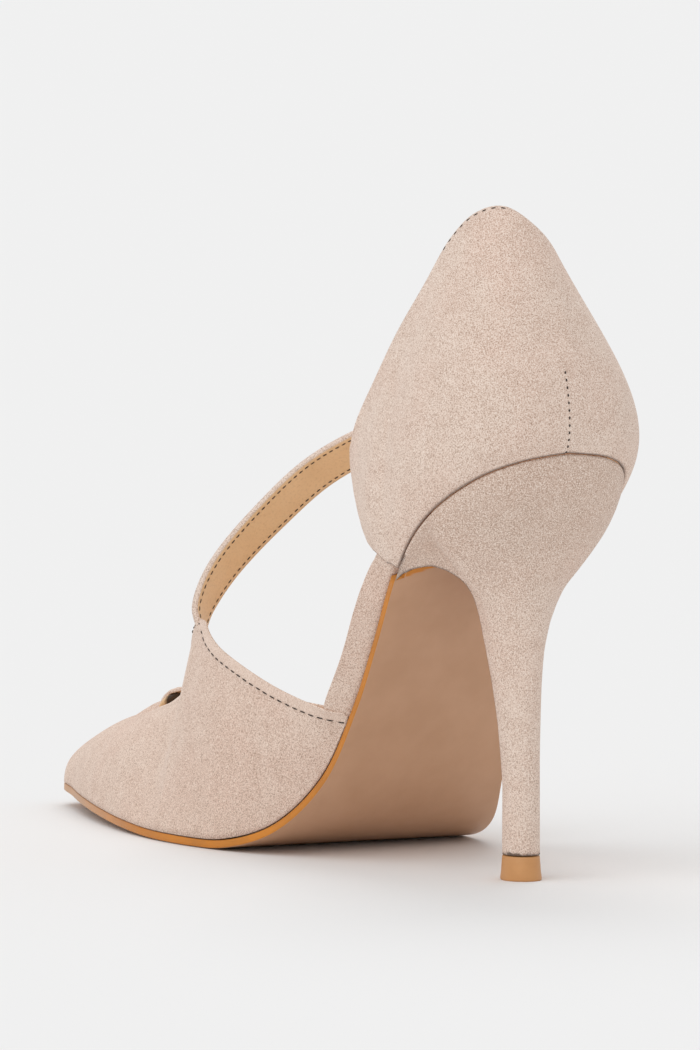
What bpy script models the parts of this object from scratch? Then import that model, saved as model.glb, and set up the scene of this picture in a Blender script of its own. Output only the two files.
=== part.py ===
"""Right heeled shoe: pointed suede pump with a stiletto heel, open waists and one strap over the instep.

The frame has X along the shoe to the toe, Y to the inner side and Z up, with the floor at Z = 0.
Tables are in millimetres from the back of the heel seat, and all of them follow the driving sizes below.
"""
import bmesh
import bpy
import numpy as np

MM = 0.001

# Driving sizes, in millimetres
LENGTH = 219.6
BALL_WIDTH = 71.0
HEEL_HEIGHT = 102.0
WALL = 1.8
GAP = 0.3
SOLE_THICK = 1.9
SOCK_THICK = 0.9
BINDING_RAISE = 0.35
STRAP_THICK = 1.6
LIFT_TALL = 5.8
CENTRE = (108.0, -2.45)

# Materials: colour and roughness
SUEDE = ((0.62, 0.48, 0.40), 0.90)
SOLE_BROWN = ((0.36, 0.21, 0.13), 0.42)
SOCK_TAN = ((0.60, 0.40, 0.22), 0.50)
LIFT_TAN = ((0.50, 0.26, 0.12), 0.45)


def table(columns, rows):
    """Turns rows into one array for each named column."""
    return dict(zip(columns.split(), np.array(rows, float).T))


# Edge of the sole: inner and outer points of its underside, from the back of the heel to the toe tip
SOLE = table("in_x in_y out_x out_y z", [
    (0.0, 0.0, 0.0, 0.0, 102.0),
    (1.8, 11.4, 1.8, -11.9, 100.4),
    (8.5, 19.4, 8.5, -20.6, 96.4),
    (19.4, 24.0, 19.4, -25.6, 89.2),
    (29.6, 24.9, 30.2, -26.7, 80.8),
    (39.0, 23.9, 40.3, -25.9, 69.8),
    (50.5, 21.8, 52.0, -25.0, 53.6),
    (61.7, 20.7, 63.0, -25.7, 37.0),
    (74.6, 21.7, 73.6, -28.3, 19.0),
    (90.4, 26.1, 86.4, -33.2, 6.0),
    (110.0, 31.0, 103.0, -36.7, 0.2),
    (131.0, 33.1, 122.0, -38.0, -0.4),
    (153.0, 31.5, 144.0, -35.8, 0.8),
    (174.0, 27.0, 167.0, -29.3, 1.9),
    (192.5, 21.6, 188.5, -19.1, 2.9),
    (206.0, 16.6, 205.0, -7.5, 3.5),
    (214.0, 13.9, 214.0, 0.4, 3.7),
    (218.2, 11.4, 218.2, 5.0, 3.7),
    (219.6, 8.2, 219.6, 8.2, 3.7),
])
TOE_TIP = 18
SEAT_STATIONS = (0.25, 0.5, 0.8, 1.3, 1.8, 2.4, 2.73, 3.05, 3.38)
WAIST_ROWS = 8
BALL_END = 15.6
BALL_ROWS = 45
TOE_SPAN = (15.8, 17.9)
TOE_ROWS = 9
# Short step in front of the heel, where the sole narrows to its tongue
TONGUE_END = 3.4
TONGUE_STEP = (0.02, 0.04)
FEATHER = SOLE_THICK + GAP

# Vamp sections: ridge of the section, how far up it the inner and outer edges reach, in degrees, and how far
# those edges are drawn up toward the strap
VAMP = table("station ridge_y ridge_z in_edge out_edge in_neck out_neck", [
    (7.0, 0.0, 118.0, 1.0, 0.0, 0.0, 0.0),
    (8.0, 0.0, 112.0, 11.0, 0.0, 0.0, 0.0),
    (9.0, 0.0, 103.0, 20.5, 5.0, 0.0, 0.0),
    (10.0, 0.5, 88.0, 31.0, 15.0, 0.0, 0.0),
    (10.5, 0.7, 74.0, 40.0, 20.0, 2.0, 0.0),
    (11.0, 1.0, 58.0, 50.0, 26.0, 9.0, 0.0),
    (11.3, 1.2, 49.0, 46.5, 32.0, 11.0, 0.0),
    (11.5, 1.4, 43.0, 51.0, 36.5, 9.0, 0.0),
    (11.8, 1.7, 39.0, 57.0, 42.0, 5.2, 0.0),
    (12.2, 2.1, 35.5, 65.0, 51.0, 2.2, 0.5),
    (12.8, 2.8, 32.0, 75.0, 66.0, 1.0, 2.0),
    (13.2, 3.3, 29.8, 82.0, 77.0, 0.3, 4.0),
    (13.45, 3.6, 28.7, 87.0, 86.0, 0.0, 3.5),
    (13.6, 3.8, 28.0, 90.0, 90.0, 0.0, 0.0),
    (14.0, 4.2, 25.0, 90.0, 90.0, 0.0, 0.0),
    (15.0, 6.0, 19.0, 90.0, 90.0, 0.0, 0.0),
    (16.0, 7.0, 14.9, 90.0, 90.0, 0.0, 0.0),
    (17.0, 7.8, 12.0, 90.0, 90.0, 0.0, 0.0),
    (18.0, 8.2, 9.4, 90.0, 90.0, 0.0, 0.0),
])
VAMP_IN_START = 7.35
VAMP_OUT_START = 8.75
THROAT = 13.6
VAMP_BULGE = 2.2
BULGE_TURN = 2.2
BULGE_ENDS = (9.8, 11.6)
LEAST_REACH = 3.0
EDGE_ROWS = 30
TOE_CAP_SPAN = (13.9, 16.4)
TOE_CAP_ROWS = 10
NOSE_STATIONS = (16.8, 17.2, 17.6, 18.0)
VAMP_SHARES = (0, 0.12, 0.27, 0.43, 0.59, 0.74, 0.87, 0.93, 1.0)
BINDING_SHARE = 0.9
NOSE_START = 16.5
NOSE_LONG = 5.0
NOSE_BLUNT = 0.3
NECK_START = 0.72

# Counter sections around the heel, inner front to outer front: station along the sole edge, upper edge and
# how far the wall bellies out
COUNTER = table("station top_x top_y top_z belly", [
    (6.95, 61.0, 22.8, 100.0, 0.4),
    (6.45, 57.2, 23.2, 107.0, 1.4),
    (5.70, 50.0, 22.6, 117.0, 3.0),
    (5.20, 42.5, 21.0, 128.5, 4.2),
    (4.30, 34.0, 18.8, 140.0, 5.2),
    (3.30, 27.0, 16.0, 151.0, 6.0),
    (2.30, 20.5, 12.8, 157.5, 6.4),
    (1.20, 14.5, 8.0, 159.0, 6.8),
    (0.00, 11.0, 1.0, 153.5, 6.8),
    (-1.20, 13.5, -6.0, 146.5, 7.2),
    (-2.30, 20.0, -12.5, 139.0, 7.4),
    (-3.30, 28.0, -17.5, 132.5, 6.8),
    (-4.30, 37.0, -21.5, 126.5, 5.2),
    (-5.20, 46.0, -24.0, 121.0, 4.2),
    (-5.70, 53.0, -25.0, 117.0, 3.0),
    (-6.45, 61.0, -25.3, 112.5, 1.4),
    (-6.95, 66.0, -25.2, 110.5, 0.4),
])

# Lower edge of the counter's front leaves, where they leave the sole
LEAF = table("station in_low out_low", [
    (5.15, 73.0, 72.5),
    (5.35, 75.2, 75.0),
    (5.60, 76.6, 77.4),
    (5.90, 77.4, 80.8),
    (6.20, 79.6, 85.0),
    (6.50, 82.8, 91.0),
    (6.75, 86.4, 96.0),
    (6.95, 92.5, 99.6),
])
COUNTER_ROWS = 20
LEAF_SPAN = (5.15, 6.95)
LEAF_ROWS = 9
COUNTER_COLUMNS = 9
BELLY_LOW = 0.7

# Board under the foot: its thickness, fullest where it shows at the open waist
BOARD = table("station thick", [
    (0.0, 3.0),
    (3.4, 3.0),
    (5.0, 6.7),
    (5.6, 6.2),
    (6.2, 5.7),
    (7.2, 5.7),
    (9.5, 3.0),
    (18.0, 3.0),
])
# The board stays inside the wall, more so toward the toe, and stands out as a strip at the waists: stations
# where its lower and upper edges open and where they shut, and how far they reach past the sole
TOE_TAPER = 1.3
TAPER_START = 12.5
STRIP_SHUTS = {1: (6.9, 7.26), -1: (8.1, 8.62)}
STRIP_UNDER = (5.1, 5.4)
STRIP_OVER = (4.95, 5.15)
UNDER_REACH = -0.4
OVER_REACH = {1: 3.2, -1: 3.0}
# Both are drawn in beside the counter's leaves
LEAF_TUCK = 1.8
TUCK_START = (3.6, 4.6)
TUCK_END = (4.95, 5.1)
SOCK_MARGIN = 1.2
SOCK_TUCK = 1.4
SOCK_TUCK_END = (5.2, 5.6)
SOCK_OPENS = (5.0, 5.6)
SOCK_REACH = 1.6

# Strap: middle line from the inner vamp over the instep to the outer counter, its width, and the point on the
# foot's axis that it faces away from
STRAP = table("x y z wide axis_x axis_z", [
    (134.4, 24.6, 42.5, 8.0, 129.0, 46.0),
    (134.6, 22.6, 49.5, 8.5, 122.0, 50.0),
    (135.4, 19.8, 56.5, 9.0, 106.0, 54.0),
    (133.4, 14.3, 66.5, 10.0, 90.0, 60.0),
    (127.5, 5.5, 78.5, 10.5, 80.0, 62.0),
    (119.0, -4.0, 90.0, 11.0, 78.0, 62.0),
    (106.0, -14.0, 98.5, 11.0, 78.0, 68.0),
    (88.0, -22.0, 103.5, 11.0, 75.0, 90.0),
    (72.0, -24.8, 105.0, 11.0, 70.0, 103.0),
    (61.0, -25.4, 105.4, 10.5, 61.0, 105.0),
])
STRAP_ROWS = 37
STRAP_COLUMNS = 5

# Heel cover: share of the way out from the stem to the seat, at the back and at the breast corners, and how
# much of the way up to the seat the breast's lip follows it
FLARE = table("height back corner lip", [
    (0.00, 0.000, 0.000, 0.00),
    (0.25, 0.000, 0.000, 0.00),
    (0.45, 0.020, 0.045, 0.12),
    (0.56, 0.060, 0.105, 0.36),
    (0.66, 0.150, 0.166, 0.52),
    (0.72, 0.250, 0.200, 0.57),
    (0.77, 0.370, 0.232, 0.61),
    (0.82, 0.560, 0.282, 0.68),
    (0.87, 0.735, 0.370, 0.75),
    (0.92, 0.885, 0.505, 0.81),
    (0.96, 0.965, 0.660, 0.90),
    (0.985, 0.990, 0.820, 0.95),
    (1.00, 1.000, 1.000, 1.00),
])
STEM_X = 20.6
STEM_LONG = 4.9
STEM_WIDE = 4.2
STEM_SQUEEZE = 0.9
STEM_AHEAD = 4
TIP_FLARE = 0.05
TIP_TALL = 0.3
BREAST = 4.95
BREAST_HOLLOW = 1.30
CORNER_SPAN = (20, 40)
HEEL_LANES = 11
SEAT_ROWS = (*np.linspace(BREAST, 1, 12), 0.7, 0.4, 0.15)
HEEL_LEVELS = (*np.linspace(0, 0.45, 5), *np.linspace(0.52, 0.94, 13), 0.965, 0.985)

# Tip under the heel: how far it grows past the stem at each height
LIFT = table("z grow", [
    (0.0, 0.3),
    (0.5, 0.5),
    (2.0, 0.3),
    (LIFT_TALL, 0.0),
])
LIFT_SIDES = 28


def along(values, station):
    """Reads a column at any station, on a smooth curve through its rows."""
    last = len(values) - 1
    place = np.clip(np.asarray(station, float), 0, last)
    row = np.minimum(place.astype(int), last - 1)
    part = place - row
    before = values[np.maximum(row - 1, 0)]
    here = values[row]
    after = values[row + 1]
    beyond = values[np.minimum(row + 2, last)]
    return here + 0.5 * part * (
        after - before
        + part * (2 * before - 5 * here + 4 * after - beyond + part * (3 * (here - after) + beyond - before)))


def at_station(columns, name, station):
    """Reads a column of a table whose rows stand at uneven stations."""
    rows = columns["station"]
    order = np.argsort(rows)
    index = np.interp(station, rows[order], np.arange(len(rows)))
    return along(columns[name][order], index)


def step(low, high, value):
    """Rises softly from 0 to 1 between two values."""
    t = np.clip((np.asarray(value, float) - low) / (high - low), 0, 1)
    return t * t * (3 - 2 * t)


def unit(vectors):
    """Scales vectors to length 1."""
    return vectors / np.maximum(np.linalg.norm(vectors, axis=-1, keepdims=True), 1e-9)


def edge(station, side):
    """Point of the sole's underside edge, on the inner side (1) or the outer side (-1)."""
    name = "in" if side > 0 else "out"
    points = [along(SOLE[f"{name}_x"], station), along(SOLE[f"{name}_y"], station),
              np.maximum(along(SOLE["z"], station), 0)]
    return np.stack(points, axis=-1)


def middle(station):
    """Middle of the sole's underside."""
    return (edge(station, 1) + edge(station, -1)) / 2


def rise(station):
    """Direction square to the sole's slope, upward."""
    small = 0.05
    slope = unit(middle(np.minimum(station + small, TOE_TIP)) - middle(np.maximum(station - small, 0)))
    return unit(np.stack([-slope[..., 2], np.zeros_like(slope[..., 0]), slope[..., 0]], axis=-1))


def outward(station, side):
    """Direction along the sole's slope, square to its edge in plan and away from the shoe."""
    small, span = 0.02, 0.6
    run = edge(np.minimum(station + small, TOE_TIP), side) - edge(np.maximum(station - small, 0), side)
    length = np.hypot(run[..., 0], run[..., 1])
    slope = middle(np.minimum(station + span, TOE_TIP)) - middle(np.minimum(station, TOE_TIP - 0.1))
    ahead = -run[..., 1] * side / length
    return np.stack([ahead, run[..., 0] * side / length, ahead * slope[..., 2] / slope[..., 0]], axis=-1)


def layer(station, across, height, spreads=(0.0, 0.0)):
    """Point of a layer on the sole: across runs from -1 (outer) to 1 (inner), spreads widen both sides."""
    station = np.asarray(station, float)
    sides = [edge(station, side) + outward(station, side) * np.asarray(spread, float)[..., None]
             for side, spread in zip((-1, 1), spreads)]
    across_point = (sides[0] * (1 - across) + sides[1] * (1 + across)) / 2
    return across_point + rise(station) * np.asarray(height, float)[..., None]


def make_object(name, points, faces, colour, roughness):
    """Makes a mesh object in metres, about the part's own origin, with its material."""
    mesh = bpy.data.meshes.new(name)
    drawn = (SOLE["in_x"].max(), SOLE["in_y"].max() - SOLE["out_y"].min(), SOLE["z"].max())
    scale = np.array((LENGTH / drawn[0], BALL_WIDTH / drawn[1], HEEL_HEIGHT / drawn[2]))
    placed = (np.asarray(points) * scale - (*CENTRE, 0.0)) * MM
    mesh.from_pydata(placed.tolist(), [], faces)
    shape = bmesh.new()
    shape.from_mesh(mesh)
    bmesh.ops.recalc_face_normals(shape, faces=shape.faces)
    if shape.calc_volume(signed=True) < 0:
        bmesh.ops.reverse_faces(shape, faces=shape.faces)
    shape.to_mesh(mesh)
    shape.free()
    mesh.shade_smooth()
    mesh.set_sharp_from_angle(angle=0.7)
    item = bpy.data.objects.new(name, mesh)
    bpy.context.scene.collection.objects.link(item)
    material = bpy.data.materials.new(name)
    material.use_nodes = True
    shader = material.node_tree.nodes["Principled BSDF"]
    shader.inputs["Base Color"].default_value = (*colour, 1)
    shader.inputs["Roughness"].default_value = roughness
    mesh.materials.append(material)
    return item


def loft(rings):
    """Closed faces through rings of points, with a face at each end."""
    count, around = rings.shape[:2]
    faces = []
    for i in range(count - 1):
        for j in range(around):
            k = (j + 1) % around
            faces.append((i * around + j, i * around + k, (i + 1) * around + k, (i + 1) * around + j))
    faces.append(tuple(reversed(range(around))))
    faces.append(tuple(range((count - 1) * around, count * around)))
    return rings.reshape(-1, 3), faces


def sheet(rows, columns, first=0):
    """Faces of a grid of points."""
    return [(first + i * columns + j, first + i * columns + j + 1,
             first + (i + 1) * columns + j + 1, first + (i + 1) * columns + j)
            for i in range(rows - 1) for j in range(columns - 1)]


def thicken(outer, inner, faces):
    """Closes a sheet and its inner copy into one solid, with a rim along every free edge."""
    count = len(outer)
    closed = list(faces) + [tuple(count + i for i in reversed(face)) for face in faces]
    edges = {(face[k], face[(k + 1) % len(face)]) for face in faces for k in range(len(face))}
    for a, b in edges:
        if (b, a) not in edges:
            closed.append((b, a, count + a, count + b))
    return np.concatenate([outer, inner]), closed


def hide(cutter):
    """Keeps a helper solid out of the part."""
    cutter.hide_render = True
    cutter.display_type = "WIRE"
    return cutter


def combine(item, helper, operation):
    """Joins a helper solid to an object, or cuts it away."""
    change = item.modifiers.new(helper.name, "BOOLEAN")
    change.operation = operation
    change.solver = "EXACT"
    change.object = hide(helper)


def strip_rings(stations, low, high, low_spread, high_spread):
    """Rings of a layer between two heights, each with its own spread on the inner and outer side."""
    lanes = (-1, -0.5, 0, 0.5, 1)
    under = [layer(stations, v, low, low_spread) for v in lanes]
    over = [layer(stations, v, high, high_spread) for v in reversed(lanes)]
    return np.stack(under + over, axis=1)


def foot_stations():
    """Stations shared by the layers: those of the heel seat, the sole and the toe tip."""
    narrow, wide = TONGUE_STEP
    tongue = np.append(np.linspace(TONGUE_END, BREAST + narrow, WAIST_ROWS), BREAST + wide)
    sole = np.append(tongue, np.linspace(BREAST + 0.15, BALL_END, BALL_ROWS))
    return np.array(SEAT_STATIONS), sole, np.linspace(*TOE_SPAN, TOE_ROWS)


def make_outsole():
    """Thin sole from the toe back to a tongue between the heel and the board."""
    stations = np.concatenate(foot_stations()[1:])
    zero = np.zeros_like(stations)
    spread = np.where(stations < BREAST + np.mean(TONGUE_STEP), -(WALL + 2 * GAP), 0.0)
    rings = strip_rings(stations, zero, zero + SOLE_THICK, (spread, spread), (spread, spread))
    return make_object("outsole", *loft(rings), *SOLE_BROWN)


def board_top(station):
    """Height of the board's upper face."""
    return FEATHER + at_station(BOARD, "thick", station)


def board_spread(station, side, opens, lip):
    """How far the board stands out past the sole: inside the upper's wall, or out at the open waist."""
    inside = -(WALL + 2 * GAP) - TOE_TAPER * np.maximum(station - TAPER_START, 0)
    bare = step(*opens, station) * (1 - step(*STRIP_SHUTS[side], station))
    return inside + (lip - inside) * bare


def make_board():
    """Board under the foot, wrapped and flared where it shows at the waists."""
    stations = np.concatenate(foot_stations()[:2])
    low = np.where(stations < TONGUE_END, 0.0, FEATHER) + GAP / 2
    low_spread = tuple(board_spread(stations, side, STRIP_UNDER, UNDER_REACH) for side in (-1, 1))
    tuck = LEAF_TUCK * step(*TUCK_START, stations) * (1 - step(*TUCK_END, stations))
    high_spread = tuple(board_spread(stations, side, STRIP_OVER, OVER_REACH[side]) - tuck for side in (-1, 1))
    rings = strip_rings(stations, low, board_top(stations), low_spread, high_spread)
    return make_object("insole_board", *loft(rings), *SUEDE)


def make_insole():
    """Thin sock lining on the board."""
    stations = np.concatenate(foot_stations()[:2])[1:-2]
    margin = SOCK_MARGIN + SOCK_TUCK * step(*TUCK_START, stations) * (1 - step(*SOCK_TUCK_END, stations))
    spread = tuple(board_spread(stations, side, SOCK_OPENS, SOCK_REACH) - margin for side in (-1, 1))
    low = board_top(stations) + 1.5 * GAP
    rings = strip_rings(stations, low, low + SOCK_THICK, spread, spread)
    return make_object("insole", *loft(rings), *SOCK_TAN)


def vamp_point(station, degrees, side):
    """Point of the vamp's outer face: degrees run from the sole edge (0) to the ridge (90)."""
    foot = layer(station, side, FEATHER)
    ridge = np.stack([middle(station)[..., 0], at_station(VAMP, "ridge_y", station),
                      at_station(VAMP, "ridge_z", station)], axis=-1)
    angle = np.radians(degrees)
    level = np.cos(angle)[..., None]
    climb = np.sin(angle)[..., None]
    side_ways = unit((foot - ridge) * (1, 1, 0))
    across = ridge + (foot - ridge) * level
    point = np.concatenate([across[..., :2], foot[..., 2:] + (ridge - foot)[..., 2:] * climb], axis=-1)
    swell = VAMP_BULGE * np.sin(np.minimum(BULGE_TURN * angle, np.pi)) * (1 - step(*BULGE_ENDS, station))
    name = "in" if side > 0 else "out"
    share = degrees / np.maximum(at_station(VAMP, f"{name}_edge", station), LEAST_REACH)
    neck = at_station(VAMP, f"{name}_neck", station) * step(NECK_START, 1, share) * (station < THROAT)
    return point + side_ways * swell[..., None] + (0, 0, 1) * neck[..., None]


def vamp_grid(side, start):
    """Outer points of one half of the vamp and the same points moved in by the wall."""
    name = "in_edge" if side > 0 else "out_edge"
    stations = np.concatenate([np.linspace(start, THROAT, EDGE_ROWS), np.linspace(*TOE_CAP_SPAN, TOE_CAP_ROWS),
                               NOSE_STATIONS])
    grid = np.meshgrid(stations, VAMP_SHARES, indexing="ij")
    reach = np.maximum(at_station(VAMP, name, grid[0]), LEAST_REACH)
    reach = np.where(grid[0] >= THROAT, 90.0, np.minimum(reach, 89.0))
    degrees = reach * grid[1]
    outer = vamp_point(grid[0], degrees, side)
    small = 0.02
    after = vamp_point(np.minimum(grid[0] + small, TOE_TIP), degrees, side)
    run = after - vamp_point(grid[0] - small, degrees, side)
    turn = vamp_point(grid[0], np.minimum(degrees + 1, 90), side) - vamp_point(grid[0], degrees - 1, side)
    facing = unit(np.cross(turn, run)) * side
    ridge = grid[1] * reach > 89.5
    facing[ridge] = unit(facing[ridge] * (1, 0, 1))
    level = np.where((grid[1] == 0)[..., None], unit(facing * (1, 1, 0)), facing)
    inner = outer - level * WALL
    last = np.searchsorted(stations, NOSE_START) - 1
    centre = np.array((inner[last, :, 0].mean(), inner[last, -1, 1], inner[last, 0, 2]))
    blunt = TOE_TIP + NOSE_BLUNT
    left = ((blunt - stations[last:]) / (blunt - stations[last]))[:, None, None]
    inner[last:] = centre + (inner[last] - centre) * left + (1 - left) * (NOSE_LONG, 0, 0)
    bound = (grid[1] > BINDING_SHARE) & (grid[0] < THROAT)
    outer = outer + facing * (BINDING_RAISE * bound)[..., None]
    return outer, inner


def make_vamp():
    """Vamp with its inner and outer wings, open at the throat and underneath."""
    halves = [vamp_grid(1, VAMP_IN_START), vamp_grid(-1, VAMP_OUT_START)]
    for inner_half, outer_half in zip(*halves):
        ridge = (slice(EDGE_ROWS - 1, None), -1)
        outer_half[ridge] = inner_half[ridge] = (inner_half[ridge] + outer_half[ridge]) / 2
        outer_half[-1] = inner_half[-1] = (inner_half[-1] + outer_half[-1]) / 2
    rows, columns = halves[0][0].shape[:2]
    right = sheet(rows, columns)
    left = [tuple(reversed(face)) for face in sheet(rows, columns, rows * columns)]
    outer, inner = (np.concatenate([half[k].reshape(-1, 3) for half in halves]) for k in (0, 1))
    outer, inner, faces = weld(outer, inner, right + left)
    return make_object("upper", *thicken(outer, inner, faces), *SUEDE)


def weld(outer, inner, faces):
    """Merges outer points that coincide, so that the two halves meet along the ridge and at the tip."""
    keys, where = {}, []
    for point in np.round(outer, 3):
        where.append(keys.setdefault(tuple(point), len(keys)))
    where = np.array(where)
    keep = np.zeros((len(keys), 3))
    keep_inner = np.zeros((len(keys), 3))
    tally = np.bincount(where)[:, None]
    np.add.at(keep, where, outer)
    np.add.at(keep_inner, where, inner)
    joined = []
    for face in faces:
        corners = list(dict.fromkeys(int(where[i]) for i in face))
        if len(corners) > 2:
            joined.append(tuple(corners))
    return keep / tally, keep_inner / tally, joined


def counter_grid():
    """Outer points of the counter's wall and the same points moved in."""
    cup = np.append(np.linspace(0, BREAST - 0.05, COUNTER_ROWS), BREAST)
    half = np.append(cup, np.linspace(*LEAF_SPAN, LEAF_ROWS))
    stations = np.concatenate([half[::-1], -half[1:]])
    rows = np.interp(-stations, -COUNTER["station"], np.arange(len(COUNTER["station"])))
    place = np.abs(stations)
    above = np.where(place >= BREAST, FEATHER, 0)
    inner_side = (stations > 0)[:, None]
    foot = np.where(inner_side, layer(place, 1, above), layer(place, -1, above))
    leaf = np.where(stations > 0, np.interp(place, LEAF["station"], LEAF["in_low"], left=0),
                    np.interp(place, LEAF["station"], LEAF["out_low"], left=0))
    foot[:, 2] = np.maximum(foot[:, 2], leaf)
    top = np.stack([along(COUNTER[name], rows) for name in ("top_x", "top_y", "top_z")], axis=-1)
    heading = np.gradient(foot * (1, 1, 0), axis=0)
    away = unit(np.stack([heading[:, 1], -heading[:, 0], 0 * rows], axis=-1))
    shares = np.linspace(0, 1, COUNTER_COLUMNS)
    belly = along(COUNTER["belly"], rows)[:, None] * np.sin(np.pi * shares ** BELLY_LOW)
    outer = foot[:, None] + (top - foot)[:, None] * shares[:, None] + away[:, None] * belly[..., None]
    facing = unit(np.cross(np.gradient(outer, axis=0), np.gradient(outer, axis=1)))
    facing = facing * np.sign((facing * away[:, None]).sum(-1, keepdims=True))
    facing[:, 0] = unit(facing[:, 0] * (1, 1, 0))
    return outer, outer - facing * WALL


def make_counter():
    """Heel counter, from the sole to the collar, with its two front leaves."""
    outer, inner = counter_grid()
    faces = sheet(*outer.shape[:2])
    solid = thicken(outer.reshape(-1, 3), inner.reshape(-1, 3), faces)
    return make_object("counter", *solid, *SUEDE)


def make_strap():
    """Strap over the instep, each cross piece facing away from the foot."""
    rows = np.linspace(0, len(STRAP["x"]) - 1, STRAP_ROWS)
    line = np.stack([along(STRAP[name], rows) for name in ("x", "y", "z")], axis=-1)
    heading = unit(np.gradient(line, axis=0))
    away = line - np.stack([along(STRAP["axis_x"], rows), 0 * rows, along(STRAP["axis_z"], rows)], axis=-1)
    facing = unit(away - heading * (away * heading).sum(-1, keepdims=True))
    crosswise = np.cross(heading, facing)
    shares = np.linspace(-0.5, 0.5, STRAP_COLUMNS)
    width = along(STRAP["wide"], rows)[:, None] * shares
    middle_face = line[:, None] + crosswise[:, None] * width[..., None]
    lift = (facing * STRAP_THICK / 2)[:, None]
    outer, inner = middle_face + lift, middle_face - lift
    solid = thicken(outer.reshape(-1, 3), inner.reshape(-1, 3), sheet(len(rows), len(shares)))
    return make_object("strap", *solid, *SUEDE)


def heel_seat():
    """Grid of the heel's seat, from the hollowed breast to the back, inner to outer side."""
    swing = np.linspace(np.pi / 2, -np.pi / 2, HEEL_LANES)
    hollow = 1 - BREAST_HOLLOW / BREAST * np.cos(swing)
    columns = [layer(np.array(SEAT_ROWS) * inset, lane, -GAP) for inset, lane in zip(hollow, np.sin(swing))]
    return np.stack(columns, axis=1)


def heel_wall(rim, on_breast):
    """Rings of the heel's wall, from its tip to just under the rim of the seat."""
    corner = np.where(on_breast, 1, step(*CORNER_SPAN, rim[:, 0]))
    centre = np.array((STEM_X, 0.0, 0.0))
    turn = np.arctan2(rim[:, 1] * STEM_SQUEEZE, rim[:, 0] - STEM_X - STEM_AHEAD)
    stem = np.stack([STEM_LONG * np.cos(turn), STEM_WIDE * np.sin(turn), 0 * turn], axis=-1)
    bottom = LIFT_TALL + GAP
    seat_line = layer(np.linspace(0, BREAST, 40), 0, -GAP)
    rings = []
    for level in HEEL_LEVELS:
        row = np.interp(level, FLARE["height"], np.arange(len(FLARE["height"])))
        out = along(FLARE["back"], row) * (1 - corner) + along(FLARE["corner"], row) * corner
        base = centre + stem * (1 + TIP_FLARE / STEM_WIDE * (1 - step(0, TIP_TALL, level)))
        ring = base + (rim - base) * out[:, None]
        under_seat = np.interp(ring[:, 0], seat_line[:, 0], seat_line[:, 2]) - rim[:, 2]
        lip = along(FLARE["lip"], row) * under_seat * corner
        ring[:, 2] = bottom + (rim[:, 2] - bottom) * level + lip
        rings.append(ring)
    return np.array(rings)


def make_heel():
    """Covered stiletto heel: its wall and the seat that closes it."""
    seat = heel_seat()
    rows, lanes = seat.shape[:2]
    grid = np.arange(rows * lanes).reshape(rows, lanes)
    rim = np.concatenate([grid[:-1, 0], grid[-1, :-1], grid[:0:-1, -1], grid[0, :0:-1]])
    on_breast = np.isin(rim, grid[0])
    points, faces = loft(heel_wall(seat.reshape(-1, 3)[rim], on_breast))
    faces.pop()
    first = len(points)
    last = first - len(rim)
    for j in range(len(rim)):
        k = (j + 1) % len(rim)
        faces.append((last + j, last + k, first + rim[k], first + rim[j]))
    faces += sheet(rows, lanes, first)
    return make_object("heel", np.concatenate([points, seat.reshape(-1, 3)]), faces, *SUEDE)


def make_lift():
    """Plastic tip under the heel, flared toward the floor."""
    turn = np.linspace(0, 2 * np.pi, LIFT_SIDES, endpoint=False)
    rings = []
    for z, grow in zip(LIFT["z"], LIFT["grow"]):
        long, wide = STEM_LONG + grow, STEM_WIDE + grow
        rings.append(np.stack([STEM_X + long * np.cos(turn), wide * np.sin(turn), 0 * turn + z], axis=-1))
    return make_object("top_lift", *loft(np.array(rings)), *LIFT_TAN)


for leftover in list(bpy.data.objects):
    bpy.data.objects.remove(leftover)

upper = make_vamp()
combine(upper, make_strap(), "UNION")
combine(upper, make_counter(), "UNION")
make_outsole()
make_board()
make_insole()
make_heel()
make_lift()
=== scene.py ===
"""Looks of the right heeled shoe: pointed suede pump with a slim covered heel, open waists and one strap.

Sizes are in millimetres from the back of the heel seat: X runs to the toe, Y to the inner side and Z up from
the floor. Stations count the rows of the sole's edge, from 0 at the back of the heel to 18 at the toe's tip.
"""
import math

import bmesh
import bpy
import numpy as np
from mathutils import Matrix, Vector


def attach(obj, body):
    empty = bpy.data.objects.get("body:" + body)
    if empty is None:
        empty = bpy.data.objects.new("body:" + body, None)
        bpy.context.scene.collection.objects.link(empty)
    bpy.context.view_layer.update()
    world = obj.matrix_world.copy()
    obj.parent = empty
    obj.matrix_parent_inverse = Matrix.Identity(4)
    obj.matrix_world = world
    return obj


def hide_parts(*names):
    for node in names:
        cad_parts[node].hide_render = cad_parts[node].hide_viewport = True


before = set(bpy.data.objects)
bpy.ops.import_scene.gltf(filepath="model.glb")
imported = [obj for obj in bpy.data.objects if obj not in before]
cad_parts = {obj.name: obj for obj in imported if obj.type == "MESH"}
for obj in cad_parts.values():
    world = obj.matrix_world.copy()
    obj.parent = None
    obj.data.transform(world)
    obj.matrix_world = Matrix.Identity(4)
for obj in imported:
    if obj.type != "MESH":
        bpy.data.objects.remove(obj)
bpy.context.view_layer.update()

# Insole board: the stiff fibre board that everything else is built on, bent to the arch of the foot.
# At the open waists it stands out past the sole and is wrapped in the suede of the upper, as a strip along
# its edge. The foot's sizes start here because every other piece is lasted or laid on this board.
MM = 0.001
MIDDLE_X = 108.0
MIDDLE_Y = -2.45
WALL = 1.8
SEAM_GAP = 0.3
SOLE_THICK = 1.9
FEATHER = SOLE_THICK + SEAM_GAP
HEEL_BREAST = 4.95
TONGUE_END = 3.4
TOE_TIP = 18
FLOOR_SOFT = 0.7
# Lanes across a layer of the sole, steps of its rounded corners, and the distance within which points are one
LANES = 15
CORNER_STEPS = 4
WELD = 0.01


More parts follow.
